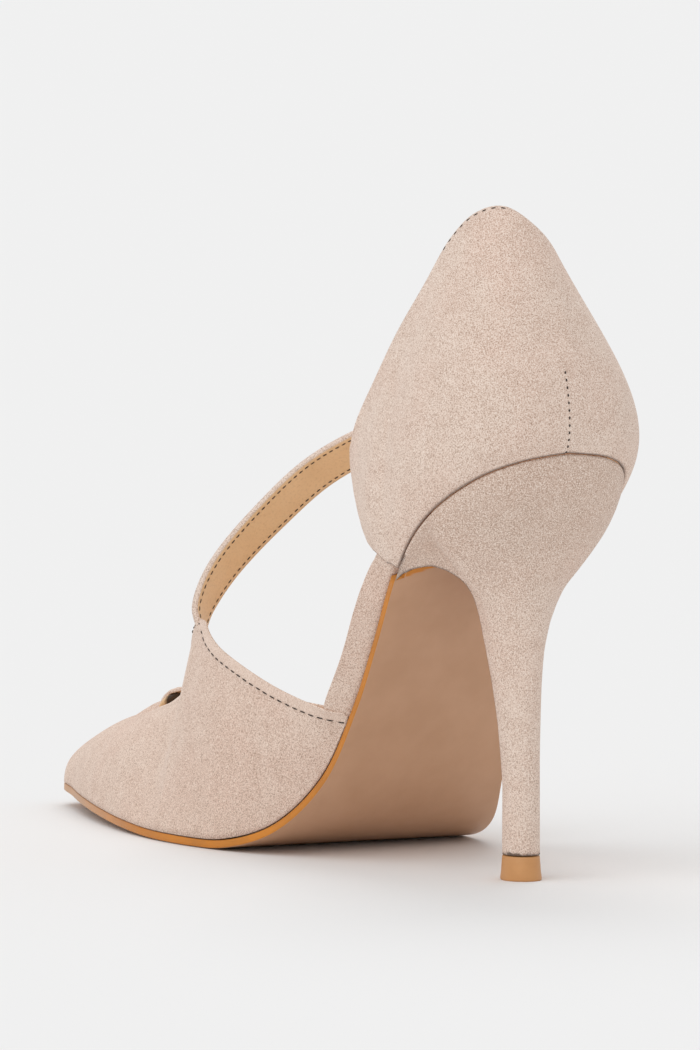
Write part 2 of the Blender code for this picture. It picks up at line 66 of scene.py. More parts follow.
def table(columns, rows):
    """Turns rows into one array for each named column."""
    return dict(zip(columns.split(), np.array(rows, float).T))


# Edge of the sole's underside, from the back of the heel to the tip of the toe
SOLE_EDGE = table("in_x in_y out_x out_y z", [
    (0.0, 0.0, 0.0, 0.0, 102.0),
    (1.8, 11.4, 1.8, -11.9, 100.4),
    (8.5, 19.4, 8.5, -20.6, 96.4),
    (19.4, 24.0, 19.4, -25.6, 89.2),
    (29.6, 24.9, 30.2, -26.7, 80.8),
    (39.0, 23.9, 40.3, -25.9, 69.8),
    (50.5, 21.8, 52.0, -25.0, 53.6),
    (61.7, 20.7, 63.0, -25.7, 37.0),
    (74.6, 21.7, 73.6, -28.3, 19.0),
    (90.4, 26.1, 86.4, -33.2, 6.0),
    (110.0, 31.0, 103.0, -36.7, 0.2),
    (131.0, 33.1, 122.0, -38.0, -0.4),
    (153.0, 31.5, 144.0, -35.8, 0.8),
    (174.0, 27.0, 167.0, -29.3, 1.9),
    (192.5, 21.6, 188.5, -19.1, 2.9),
    (206.0, 16.6, 205.0, -7.5, 3.5),
    (214.0, 13.9, 214.0, 0.4, 3.7),
    (218.2, 11.4, 218.2, 5.0, 3.7),
    (219.6, 8.2, 219.6, 8.2, 3.7),
])
# Thickness of the board, fullest where it shows at the waists
BOARD = table("station thick", [
    (0.0, 3.0),
    (3.4, 3.0),
    (5.0, 6.7),
    (5.6, 6.2),
    (6.2, 5.7),
    (7.2, 5.7),
    (9.5, 3.0),
    (18.0, 3.0),
])
# Rows of the board's mesh: first station, last station, rows
BOARD_ROWS = (
    (0.25, TONGUE_END - 0.02, 14),
    (TONGUE_END, 4.6, 10),
    (4.64, 5.2, 24),
    (5.26, 15.6, 110),
)
# Station where the board starts to narrow inside the toe, and by how much for each station
TOE_NARROWS = 12.5
TOE_TAPER = 1.3
# Where the waist strip comes out over and under its edge, and where it runs under the vamp's wings
STRIP_OPENS = (4.62, 4.72)
STRIP_OPENS_UNDER = (4.66, 4.74)
STRIP_SHUTS = {1: (7.1, 7.9), -1: (8.2, 8.8)}
# How far the strip stands out past the sole, along its upper and its lower edge
STRIP_LIP_UNDER = -0.2
STRIP_LIP = table("station lip", [
    (4.6, 1.0),
    (5.0, 1.5),
    (5.2, 2.2),
    (5.5, 3.4),
    (5.8, 3.9),
    (6.4, 4.0),
    (7.0, 4.3),
    (8.5, 4.3),
])
STRIP_ROUND = 0.9
SUEDE_PALE = (0.840, 0.670, 0.565)
SUEDE_ROSY = (0.820, 0.615, 0.510)
SUEDE_DEEP = (0.720, 0.540, 0.440)
SUEDE_TIPS = (0.930, 0.800, 0.705)
SUEDE_ROOTS = (0.370, 0.245, 0.180)
# Painted shade on the heel's upper flank, which faces down under the counter
SUEDE_UNDER_COUNTER_SHADE = (0.560, 0.400, 0.310)
VAMP_TONE = (0.950, 0.925, 0.910)
# Painted shade in a ragged band at the heel cover's hem, in the gap above the lift
HEM_PAINTED_SHADE = (0.100, 0.060, 0.040)
# Painted shade along the foot of the counter, at its joins with the heel and the waist strip
SEAM_PAINTED_SHADE = (0.200, 0.130, 0.100)
# Sizes of the hem's painted shade: how ragged, its grain and its soft edge
HEM_RAGGED = 3.2
HEM_GRAIN = 2.4
HEM_SOFT = 0.5
# Sizes of the suede's grains
NAP_SIZE = 0.30
FLECK_SIZE = 0.9
STROKE_SIZE = 5.0
CLOUD_SIZE = 20.0
# Range of a grain, and the shares of the second colour at its two ends
CLOUDS = (0.4, 0.62, 0.0, 1.0)
STROKES = (0.4, 0.7, 0.0, 0.6)
FLECKS = (0.3, 0.5, 0.16, 0.0)
NAP_ROOTS = (0.28, 0.51, 0.90, 0.0)
NAP_TIPS = (0.48, 0.68, 0.0, 1.0)
SEAM_SHADE_FADES = (0.45, 0.95, 0.0, 0.8)
UNDER_COUNTER_SHADE_SHARE = 0.5
HEM_SHADE_SHARE = 0.85
# Depths of the suede's nap, flecks and strokes
SUEDE_DEPTHS = (0.06, 0.06, 0.10)


def along(values, station):
    """Reads a column at any station, on a smooth curve through its rows."""
    last = len(values) - 1
    place = np.clip(np.asarray(station, float), 0, last)
    row = np.minimum(place.astype(int), last - 1)
    part = place - row
    before = values[np.maximum(row - 1, 0)]
    here = values[row]
    after = values[row + 1]
    beyond = values[np.minimum(row + 2, last)]
    bend = 2 * before - 5 * here + 4 * after - beyond + part * (3 * (here - after) + beyond - before)
    return here + 0.5 * part * (after - before + part * bend)


def at_station(columns, name, station):
    """Reads a column of a table whose rows stand at uneven stations."""
    rows = columns["station"]
    order = np.argsort(rows)
    return along(columns[name][order], np.interp(station, rows[order], np.arange(len(rows))))


def step(low, high, value):
    """Rises softly from 0 to 1 between two values."""
    t = np.clip((np.asarray(value, float) - low) / (high - low), 0, 1)
    return t * t * (3 - 2 * t)


def unit(vectors):
    """Scales vectors to length 1."""
    return vectors / np.maximum(np.linalg.norm(vectors, axis=-1, keepdims=True), 1e-9)


def edge(station, side):
    """Point of the sole's underside edge, on the inner side (1) or the outer side (-1)."""
    name = "in" if side > 0 else "out"
    drop = along(SOLE_EDGE["z"], station)
    height = (drop + np.sqrt(drop ** 2 + FLOOR_SOFT ** 2)) / 2
    plan = [along(SOLE_EDGE[name + axis], station) for axis in ("_x", "_y")]
    return np.stack([*plan, height], axis=-1)


def middle(station):
    """Middle of the sole's underside."""
    return (edge(station, 1) + edge(station, -1)) / 2


def rise(station):
    """Direction square to the sole's slope, upward."""
    small = 0.05
    slope = unit(middle(np.minimum(station + small, TOE_TIP)) - middle(np.maximum(station - small, 0)))
    return unit(np.stack([-slope[..., 2], np.zeros_like(slope[..., 0]), slope[..., 0]], axis=-1))


def outward(station, side):
    """Direction along the sole's slope, square to its edge in plan and away from the shoe."""
    small, span = 0.02, 0.6
    run = edge(np.minimum(station + small, TOE_TIP), side) - edge(np.maximum(station - small, 0), side)
    length = np.hypot(run[..., 0], run[..., 1])
    slope = middle(np.minimum(station + span, TOE_TIP)) - middle(np.minimum(station, TOE_TIP - 0.1))
    ahead = -run[..., 1] * side / length
    return np.stack([ahead, run[..., 0] * side / length, ahead * slope[..., 2] / slope[..., 0]], axis=-1)


def layer(station, lane, height, spreads=(0.0, 0.0)):
    """Point of a layer on the sole: the lane runs from -1 (outer) to 1 (inner), spreads widen those sides."""
    station = np.asarray(station, float)
    sides = [edge(station, side) + outward(station, side) * np.asarray(spread, float)[..., None]
             for side, spread in zip((-1, 1), spreads)]
    flat = (sides[0] * (1 - lane) + sides[1] * (1 + lane)) / 2
    return flat + rise(station) * np.asarray(height, float)[..., None]


def rounded_layer(stations, low, high, low_spreads, high_spreads, corner):
    """Rings of a layer with rounded edges: under it, up its inner edge, over its top, down its outer edge."""
    turn = np.linspace(0, np.pi / 2, CORNER_STEPS + 1)[1:]

    def ring_point(lane, height, inset):
        share = (height - low) / (high - low)
        spreads = [a + (b - a) * share - inset for a, b in zip(low_spreads, high_spreads)]
        return layer(stations, lane, height, spreads)

    across = np.linspace(-1, 1, LANES)
    up = [(low + corner * (1 - np.cos(a)), corner * (1 - np.sin(a))) for a in turn]
    up += [(high - corner * (1 - np.cos(a)), corner * (1 - np.sin(a))) for a in turn[-2::-1]]
    ring = [ring_point(lane, low, corner) for lane in across]
    ring += [ring_point(1, height, inset) for height, inset in up]
    ring += [ring_point(lane, high, corner) for lane in across[::-1]]
    ring += [ring_point(-1, height, inset) for height, inset in up[::-1]]
    return np.stack(ring + ring[:1], axis=1)


def lay_grid(shape, points):
    """Lays a fresh grid over rows and columns of points given in millimetres, and returns its vertices."""
    rows, columns = points.shape[:2]
    verts = bmesh.ops.create_grid(shape, x_segments=columns - 1, y_segments=rows - 1, size=0.5)["verts"]
    verts = sorted(verts, key=lambda vert: (round((vert.co.y + 0.5) * (rows - 1)), vert.co.x))
    for vert, place in zip(verts, (points.reshape(-1, 3) - (MIDDLE_X, MIDDLE_Y, 0)) * MM):
        vert.co = place
    return verts


def close_rings(shape):
    """Joins the seam of rings laid as a grid, fills their ends and turns the faces outward."""
    bmesh.ops.remove_doubles(shape, verts=shape.verts, dist=WELD * MM)
    bmesh.ops.holes_fill(shape, edges=[e for e in shape.edges if e.is_boundary], sides=0)
    bmesh.ops.recalc_face_normals(shape, faces=shape.faces)
    if shape.calc_volume(signed=True) < 0:
        bmesh.ops.reverse_faces(shape, faces=shape.faces)


def make_piece(name, shape, *finishes):
    """Makes an object of a finished mesh, with its materials in order."""
    mesh = bpy.data.meshes.new(name)
    shape.to_mesh(mesh)
    shape.free()
    mesh.shade_smooth()
    for finish in finishes:
        mesh.materials.append(finish)
    piece = bpy.data.objects.new(name, mesh)
    bpy.context.scene.collection.objects.link(piece)
    return piece


def new_finish(name):
    """A fresh material with its nodes, links and shader."""
    finish = bpy.data.materials.new(name)
    finish.use_nodes = True
    return finish, finish.node_tree.nodes, finish.node_tree.links, finish.node_tree.nodes["Principled BSDF"]


def grain(nodes, links, size_mm, detail=3.0, rough=0.55):
    """Noise on the piece's own coordinates with grains of about the size given."""
    place = nodes.new("ShaderNodeTexCoord")
    noise = nodes.new("ShaderNodeTexNoise")
    noise.inputs["Scale"].default_value = 1 / (size_mm * MM)
    noise.inputs["Detail"].default_value = detail
    noise.inputs["Roughness"].default_value = rough
    links.new(place.outputs["Object"], noise.inputs["Vector"])
    return noise.outputs["Fac"]


def between(nodes, links, value, low, high, to_low=0.0, to_high=1.0):
    """Stretches a value from one range to another, held at its ends."""
    ramp = nodes.new("ShaderNodeMapRange")
    ramp.inputs["From Min"].default_value = low
    ramp.inputs["From Max"].default_value = high
    ramp.inputs["To Min"].default_value = to_low
    ramp.inputs["To Max"].default_value = to_high
    links.new(value, ramp.inputs["Value"])
    return ramp.outputs["Result"]


def blend_colour(nodes, links, share, first, second, mode="MIX"):
    """Mixes two colours or colour outputs by a share."""
    mix = nodes.new("ShaderNodeMix")
    mix.data_type = "RGBA"
    mix.blend_type = mode
    if isinstance(share, (int, float)):
        mix.inputs["Factor"].default_value = share
    else:
        links.new(share, mix.inputs["Factor"])
    for socket, colour in ((mix.inputs[6], first), (mix.inputs[7], second)):
        if isinstance(colour, tuple):
            socket.default_value = (*colour, 1)
        else:
            links.new(colour, socket)
    return mix.outputs[2]


def raise_nap(nodes, links, shader, heights):
    """Stacks bumps, each a height output with its depth in millimetres, into the shader's normal."""
    normal = None
    for height, depth_mm in heights:
        bump = nodes.new("ShaderNodeBump")
        bump.inputs["Strength"].default_value = 1.0
        bump.inputs["Distance"].default_value = depth_mm * MM
        links.new(height, bump.inputs["Height"])
        if normal is not None:
            links.new(normal, bump.inputs["Normal"])
        normal = bump.outputs["Normal"]
    links.new(normal, shader.inputs["Normal"])


def own_place(nodes, links, axis):
    """Place along one axis of the piece's own coordinates."""
    place = nodes.new("ShaderNodeTexCoord")
    split = nodes.new("ShaderNodeSeparateXYZ")
    links.new(place.outputs["Object"], split.inputs["Vector"])
    return split.outputs[axis]


def kept_number(nodes, name):
    """A number that the mesh keeps on its vertices."""
    kept = nodes.new("ShaderNodeAttribute")
    kept.attribute_name = name
    return kept.outputs["Fac"]


def suede(name, tone=None, bound=False, seam_shaded=False, shade_heights_mm=None, hem_shade_mm=None):
    """Brushed suede: a speckled nap with soft strokes and clouds. It may be toned as a whole and paler on a
    bound edge, and carry painted shade along a seam, deepening between two heights, and in a ragged band at a
    hem."""
    finish, nodes, links, shader = new_finish(name)
    nap = grain(nodes, links, NAP_SIZE, detail=2.0, rough=0.6)
    fleck = grain(nodes, links, FLECK_SIZE, detail=2.0)
    stroke = grain(nodes, links, STROKE_SIZE)
    cloud = grain(nodes, links, CLOUD_SIZE, detail=2.0)
    base = blend_colour(nodes, links, between(nodes, links, cloud, *CLOUDS), SUEDE_PALE, SUEDE_ROSY)
    base = blend_colour(nodes, links, between(nodes, links, stroke, *STROKES), base, SUEDE_DEEP)
    # Painted shade, deepening up to a height
    if shade_heights_mm:
        low, high = shade_heights_mm
        tall = own_place(nodes, links, "Z")
        height_shade = between(nodes, links, tall, low * MM, high * MM, 0.0, UNDER_COUNTER_SHADE_SHARE)
        base = blend_colour(nodes, links, height_shade, base, SUEDE_UNDER_COUNTER_SHADE)
    base = blend_colour(nodes, links, between(nodes, links, fleck, *FLECKS), base, SUEDE_ROOTS)
    base = blend_colour(nodes, links, between(nodes, links, nap, *NAP_ROOTS), base, SUEDE_ROOTS)
    base = blend_colour(nodes, links, between(nodes, links, nap, *NAP_TIPS), base, SUEDE_TIPS)
    if tone:
        base = blend_colour(nodes, links, 1.0, base, tone, "MULTIPLY")
    if bound:
        fold = between(nodes, links, kept_number(nodes, "from_edge"), *BINDING_FADES)
        base = blend_colour(nodes, links, fold, base, SUEDE_PALE)
    # Painted shade along a seam, where the piece meets the next
    if seam_shaded:
        seam_shade = between(nodes, links, kept_number(nodes, "seam"), *SEAM_SHADE_FADES)
        base = blend_colour(nodes, links, seam_shade, base, SEAM_PAINTED_SHADE)
    # Painted shade in a ragged band at the hem, in the gap above the lift
    if hem_shade_mm:
        ragged = nodes.new("ShaderNodeMath")
        ragged.operation = "MULTIPLY_ADD"
        ragged.inputs[1].default_value = -HEM_RAGGED * MM
        links.new(grain(nodes, links, HEM_GRAIN), ragged.inputs[0])
        links.new(own_place(nodes, links, "Z"), ragged.inputs[2])
        low = hem_shade_mm - HEM_RAGGED / 2
        high = low + HEM_SOFT
        hem_shade = between(nodes, links, ragged.outputs["Value"], low * MM, high * MM, HEM_SHADE_SHARE, 0.0)
        base = blend_colour(nodes, links, hem_shade, base, HEM_PAINTED_SHADE)
    links.new(base, shader.inputs["Base Color"])
    shader.inputs["Roughness"].default_value = 0.95
    shader.inputs["Specular IOR Level"].default_value = 0.12
    shader.inputs["Sheen Weight"].default_value = 0.2
    shader.inputs["Sheen Roughness"].default_value = 0.5
    shader.inputs["Sheen Tint"].default_value = (1.0, 0.93, 0.88, 1)
    raise_nap(nodes, links, shader, zip((nap, fleck, stroke), SUEDE_DEPTHS))
    return finish


def board_top(station):
    """Height of the board's upper face."""
    return FEATHER + at_station(BOARD, "thick", station)


def board_spread(station, side, opens, lip):
    """How far the board stands out past the sole: inside the upper's wall, or out at the open waist."""
    inside = -(WALL + 2 * SEAM_GAP) - TOE_TAPER * np.maximum(station - TOE_NARROWS, 0)
    bare = step(*opens, station) * (1 - step(*STRIP_SHUTS[side], station))
    return inside + (lip - inside) * bare


board_stations = np.concatenate([np.linspace(*span) for span in BOARD_ROWS])
board_low = np.where(board_stations < TONGUE_END - 0.01, 0.0, FEATHER) + SEAM_GAP / 2
board_high = board_top(board_stations)
strip_lip = np.interp(board_stations, STRIP_LIP["station"], STRIP_LIP["lip"])
board_under = [board_spread(board_stations, side, STRIP_OPENS_UNDER, STRIP_LIP_UNDER) for side in (-1, 1)]
board_over = [board_spread(board_stations, side, STRIP_OPENS, strip_lip) for side in (-1, 1)]
board_shape = bmesh.new()
board_rings = rounded_layer(board_stations, board_low, board_high, board_under, board_over, STRIP_ROUND)
lay_grid(board_shape, board_rings)
close_rings(board_shape)
board = make_piece("insole_board_suede", board_shape, suede("strip_suede", tone=VAMP_TONE))
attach(board, "root")
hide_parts("insole_board")

# Sock: a thin sheet of smooth tan lining leather, cut to the foot and glued over the board.
# It is the floor of the shoe, seen through the collar and the waists.
SOCK_THICK = 0.9
SOCK_MARGIN = 1.2
SOCK_INSET = 0.7
SOCK_OPENS = (4.95, 5.3)
SOCK_LIP = 1.6
SOCK_ROUND = 0.3
# The sock is cut narrower where the counter's leaves leave the sole: where that begins and ends
SOCK_NARROWS = (3.6, 4.6)
SOCK_WIDENS = (5.0, 5.3)
LINING_TAN = (0.880, 0.620, 0.370)
LINING_DEEP = (0.810, 0.550, 0.310)
LINING_PORES = (0.450, 0.260, 0.120)
# Painted shade on the lining inside the toe, for its unlit inside: where it starts, and how far below a free
# edge
TOE_PAINTED_SHADE = (0.060, 0.035, 0.020)
TOE_SHADE_SPAN = (66, 73)
TOE_SHADE_RIM = (1.6, 2.6)


def lining_leather(name):
    """Smooth lining leather: fine pores, a few warm clouds and a low gloss, with painted shade deep in the
    toe.
    """
    finish, nodes, links, shader = new_finish(name)
    pores = grain(nodes, links, 0.6, detail=5.0, rough=0.6)
    cloud = grain(nodes, links, 14.0, detail=3.0)
    base = blend_colour(nodes, links, between(nodes, links, cloud, 0.3, 0.7), LINING_TAN, LINING_DEEP)
    base = blend_colour(nodes, links, between(nodes, links, pores, 0.25, 0.5, 0.3, 0.0), base, LINING_PORES)
    # Painted shade: the lining turns near-black ahead in the toe and away from its free edge, standing in for
    # the unlit inside
    toe_shade = nodes.new("ShaderNodeMath")
    toe_shade.operation = "MULTIPLY"
    ahead = between(nodes, links, own_place(nodes, links, "X"), *(mm * MM for mm in TOE_SHADE_SPAN))
    links.new(ahead, toe_shade.inputs[0])
    links.new(between(nodes, links, kept_number(nodes, "from_edge"), *TOE_SHADE_RIM), toe_shade.inputs[1])
    base = blend_colour(nodes, links, toe_shade.outputs["Value"], base, TOE_PAINTED_SHADE)
    links.new(base, shader.inputs["Base Color"])
    links.new(between(nodes, links, cloud, 0.3, 0.7, 0.42, 0.58), shader.inputs["Roughness"])
    raise_nap(nodes, links, shader, [(pores, 0.05)])
    return finish


lining = lining_leather("lining_leather")
sock_stations = board_stations[2:-3]
sock_cut = step(*SOCK_NARROWS, sock_stations) * (1 - step(*SOCK_WIDENS, sock_stations))
sock_margin = SOCK_MARGIN + SOCK_INSET * sock_cut
sock_spreads = [board_spread(sock_stations, side, SOCK_OPENS, SOCK_LIP) - sock_margin for side in (-1, 1)]
sock_low = board_top(sock_stations) + 1.5 * SEAM_GAP
sock_high = sock_low + SOCK_THICK
sock_shape = bmesh.new()
sock_rings = rounded_layer(sock_stations, sock_low, sock_high, sock_spreads, sock_spreads, SOCK_ROUND)
lay_grid(sock_shape, sock_rings)
close_rings(sock_shape)
sock = make_piece("sock_lining", sock_shape, lining)
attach(sock, "root")
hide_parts("insole")

# Vamp: the front of the upper, one piece of suede lasted over the toe, with a wing up each side of the foot.
# It is lined in tan leather. Its free edge is folded over a binding and sewn through.
WING_IN = table("station x y z round lean", [
    (7.15, 65.5, 21.0, 36.0, 30, 0.0),
    (7.40, 69.2, 23.9, 36.6, 36, 0.2),
    (7.65, 72.8, 24.8, 37.4, 42, 0.2),
    (8.00, 77.6, 25.3, 38.4, 46, 0.2),
    (8.50, 84.6, 26.1, 39.9, 50, 0.2),
    (9.00, 92.2, 26.8, 41.8, 52, 0.2),
    (9.50, 100.6, 27.1, 44.1, 52, 0.2),
    (10.00, 108.6, 26.9, 46.3, 52, 0.3),
    (10.40, 115.6, 26.2, 48.1, 52, 0.5),
    (10.70, 121.2, 25.1, 49.8, 54, 0.6),
    (10.90, 125.8, 23.8, 51.5, 54, 0.7),
    (11.05, 129.4, 22.5, 53.4, 55, 0.8),
    (11.18, 133.3, 21.5, 53.6, 56, 0.8),
    (11.28, 137.0, 20.7, 52.0, 57, 1.0),
    (11.36, 138.4, 20.5, 48.4, 58, 1.1),
    (11.44, 139.6, 20.1, 44.6, 60, 1.1),
    (11.52, 140.9, 19.7, 41.2, 62, 1.1),
    (11.62, 142.5, 19.2, 38.4, 64, 1.0),
    (11.76, 145.0, 18.7, 36.0, 66, 0.9),
    (11.95, 148.4, 17.7, 34.0, 68, 0.7),
    (12.25, 153.6, 16.1, 32.3, 71, 0.45),
    (12.60, 159.8, 13.8, 30.7, 76, 0.2),
    (13.00, 168.2, 10.1, 29.2, 81, 0.05),
    (13.35, 176.8, 6.5, 27.4, 86, 0.0),
    (13.60, 184.6, 3.8, 25.9, 90, 0.0),
])
WING_OUT = table("station x y z round lean", [
    (8.60, 82.4, -31.3, 12.6, 30, 0.0),
    (8.90, 86.4, -33.2, 16.2, 36, 0.0),
    (9.20, 91.2, -34.8, 19.4, 40, 0.0),
    (9.60, 98.0, -36.1, 22.8, 44, 0.0),
    (10.00, 105.0, -36.7, 25.2, 48, 0.0),
    (10.50, 114.0, -36.2, 26.8, 52, 0.0),
    (11.00, 123.0, -34.2, 27.3, 56, 0.0),
    (11.50, 133.0, -30.4, 27.5, 60, 0.0),
    (12.00, 143.0, -25.4, 28.2, 65, 0.0),
    (12.40, 151.5, -20.4, 29.4, 70, 0.0),
    (12.80, 160.0, -14.3, 30.7, 76, 0.0),
    (13.10, 168.5, -8.6, 31.6, 81, 0.0),
    (13.30, 175.5, -3.2, 32.0, 85, 0.0),
    (13.45, 181.2, 0.2, 31.2, 88, 0.0),
    (13.55, 184.4, 2.2, 29.4, 89, 0.0),
    (13.60, 184.6, 3.8, 25.9, 90, 0.0),
])
WINGS = {1: WING_IN, -1: WING_OUT}
# Ridge from the throat to the tip of the toe
RIDGE = table("station x y z", [
    (13.6, 184.6, 3.8, 25.9),
    (14.0, 191.0, 4.5, 24.4),
    (15.0, 205.5, 6.0, 19.0),
    (16.0, 214.0, 7.0, 14.9),
    (17.0, 218.2, 7.8, 12.0),
    (18.0, 219.6, 8.2, 9.4),
])
WING_START = {1: 7.15, -1: 8.6}
THROAT = 13.6
# Swell of the wings and where it dies out
VAMP_SWELL = 2.0
SWELL_ENDS = (9.8, 11.6)
# Hump of the outer lip at the throat: where it rises and falls, and the share of the way up where it starts
LIP_HUMP = 3.4
HUMP_RISES = (13.42, 13.6)
HUMP_FALLS = (13.75, 15.3)
CREST_FROM = 0.7
CREST_SHAPE = 1.4
# Binding folded over the free edge, and how its paler colour ends
BINDING_WIDE = 2.6
BINDING_RAISE = 0.35
BINDING_SOFT = 0.35
BINDING_FADES = (BINDING_WIDE - 0.2, BINDING_WIDE + 0.1, 0.4, 0.0)
# Distance kept on the mesh where there is no free edge
NO_EDGE = 50.0
# The wall thins toward its free edge: how far from the edge that starts, and the share of the wall left there
SKIVE_REACH = 6.0
SKIVE_LEAST = 0.38
# Stitches: pitch, length, thickness, and how far the thread's middle stands above the suede
BINDING_STITCH = (3.0, 2.0, 0.40, 0.05)
TIP_STITCH = (1.5, 0.9, 0.40, 0.05)
TIP_MARGIN = 1.3
THREAD_BROWN = (0.060, 0.040, 0.030)
# Stations that part the vamp's rows, the rows in each part, and its columns, which crowd toward the free edge
WING_PARTS = (10.6, 12.0, 13.3)
WING_ROWS = (60, 70, 30, 24, 60)
VAMP_COLUMNS = 48
COLUMNS_CROWD = 1.35
# A point inside the toe that the vamp faces away from
INSIDE_TOE = (150, 0, 5)


def vamp_point(station, share, side):
    """Point of the vamp's outer face: the share runs from the sole edge (0) to the free edge or ridge (1)."""
    foot = layer(station, side, FEATHER + 0 * station)
    ahead = station >= THROAT
    free = np.stack([at_station(WINGS[side], name, station) for name in ("x", "y", "z")], axis=-1)
    ridge = np.stack([at_station(RIDGE, name, station) for name in ("x", "y", "z")], axis=-1)
    top = np.where(ahead[..., None], ridge, free)
    full = np.radians(np.where(ahead, 90, at_station(WINGS[side], "round", station)))
    over = (1 - np.cos(share * full)) / (1 - np.cos(full))
    climb = np.sin(share * full) / np.sin(full)
    lean = np.where(ahead, 0, at_station(WINGS[side], "lean", station))
    over = over + (climb - over) * lean
    point = foot + (top - foot) * np.stack([over, over, climb], axis=-1)
    swell = VAMP_SWELL * np.sin(np.pi * share) * (1 - step(*SWELL_ENDS, station))
    swell = swell * step(WING_START[side], WING_START[side] + 1, station)
    hump = LIP_HUMP * step(*HUMP_RISES, station) * (1 - step(*HUMP_FALLS, station)) * (side < 0)
    crest = np.sin(np.pi * np.clip((share - CREST_FROM) / (1 - CREST_FROM), 0, 1) ** CREST_SHAPE)
    point = point + (0, 0, 1) * (hump * crest)[..., None]
    return point + (0, side, 0) * swell[..., None]


def vamp_stations(side):
    """Stations of the vamp's rows, closer together at the neck and the throat."""
    spans = (WING_START[side], *WING_PARTS, THROAT, TOE_TIP)
    return np.concatenate([np.linspace(low, high, rows, endpoint=False)
                           for low, high, rows in zip(spans, spans[1:], WING_ROWS)] + [[TOE_TIP]])


def vamp_half(side):
    """One half of the vamp, from the sole edge up to its free edge or the ridge, with its binding raised."""
    stations = vamp_stations(side)
    shares = 1 - (1 - np.linspace(0, 1, VAMP_COLUMNS)) ** COLUMNS_CROWD
    station, share = np.meshgrid(stations, shares, indexing="ij")
    points = vamp_point(station, share, side)
    from_edge = np.cumsum(np.linalg.norm(np.diff(points[:, ::-1], axis=1), axis=-1), axis=1)[:, ::-1]
    from_edge = np.concatenate([from_edge, np.zeros((len(stations), 1))], axis=1)
    from_edge = np.where(station > THROAT, NO_EDGE, from_edge)
    out = unit(points * (0, 1, 0.25))
    bound = 1 - step(BINDING_WIDE - BINDING_SOFT, BINDING_WIDE, from_edge)
    return points + out * (BINDING_RAISE * bound)[..., None], from_edge


def mark(shape, name, grid, values):
    """Keeps a number on each vertex of a grid for the materials and the wall to read."""
    band = shape.verts.layers.float[name]
    for vert, value in zip(grid, values.reshape(-1)):
        vert[band] = value


def on_grid(points, rows, columns):
    """Reads points of a grid at rows and columns that may fall between its own."""
    row = np.clip(np.floor(rows).astype(int), 0, points.shape[0] - 2)
    column = np.clip(np.floor(columns).astype(int), 0, points.shape[1] - 2)
    down = (rows - row)[:, None]
    across = (columns - column)[:, None]
    first = points[row, column] * (1 - across) + points[row, column + 1] * across
    second = points[row + 1, column] * (1 - across) + points[row + 1, column + 1] * across
    return first * (1 - down) + second * down


def seam_on(points, rows, columns, inside):
    """A seam line over a sheet with its outward direction, away from a point inside the shoe."""
    line = on_grid(points, rows, columns)
    run = on_grid(points, rows + 0.5, columns) - on_grid(points, rows - 0.5, columns)
    climb = on_grid(points, rows, columns + 0.5) - on_grid(points, rows, columns - 0.5)
    facing = unit(np.cross(run, climb))
    return line, facing * np.sign((facing * (line - inside)).sum(-1, keepdims=True))


def sew(name, line, facing, stitch, finish):
    """A row of stitches as one piece: short round threads along a line, lying on the surface."""
    pitch, long, thick, raised = stitch
    run = np.concatenate([[0], np.cumsum(np.linalg.norm(np.diff(line, axis=0), axis=-1))])

    def at(values, place):
        return np.array([np.interp(place, run, values[:, axis]) for axis in range(3)])

    shape = bmesh.new()
    for place in np.arange(pitch / 2, run[-1] - long / 2, pitch):
        ahead = unit(at(line, place + long / 2) - at(line, place - long / 2))
        face = unit(at(facing, place) - ahead * (at(facing, place) @ ahead))
        spot = (at(line, place) + face * raised - (MIDDLE_X, MIDDLE_Y, 0)) * MM
        lie = np.eye(4)
        lie[:3, 0] = np.cross(ahead, face) * thick / 2 * MM
        lie[:3, 1] = -face * thick / 2 * MM
        lie[:3, 2] = ahead * long / 2 * MM
        lie[:3, 3] = spot
        bmesh.ops.create_uvsphere(shape, u_segments=6, v_segments=5, radius=1, matrix=Matrix(lie))
    bmesh.ops.recalc_face_normals(shape, faces=shape.faces)
    row = make_piece(name, shape, finish)
    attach(row, "root")


def skive(piece):
    """Thins the wall toward its free edge, by the distance from that edge kept on the mesh."""
    distances = piece.data.attributes["from_edge"].data
    group = piece.vertex_groups.new(name="skive")
    for vert, distance in zip(piece.data.vertices, distances):
        share = min(1.0, SKIVE_LEAST + (1 - SKIVE_LEAST) * distance.value / SKIVE_REACH)
        group.add([vert.index], share, "REPLACE")


def face_out(shape, centre_mm):
    """Turns the faces of an open sheet away from a point inside it."""
    bmesh.ops.recalc_face_normals(shape, faces=shape.faces)
    centre = (Vector(centre_mm) - Vector((MIDDLE_X, MIDDLE_Y, 0))) * MM
    leaning = sum(f.normal.dot(f.calc_center_median() - centre) * f.calc_area() for f in shape.faces)
    if leaning < 0:
        bmesh.ops.reverse_faces(shape, faces=shape.faces)


def give_wall(piece, thick):
    """Gives a sheet its thickness, with the lining as the second material and the cut edge as the third."""
    wall = piece.modifiers.new("wall", "SOLIDIFY")
    wall.thickness = thick * MM
    wall.offset = -1
    wall.use_quality_normals = True
    wall.material_offset = 1
    wall.material_offset_rim = 2
    if "skive" in piece.vertex_groups:
        wall.vertex_group = "skive"


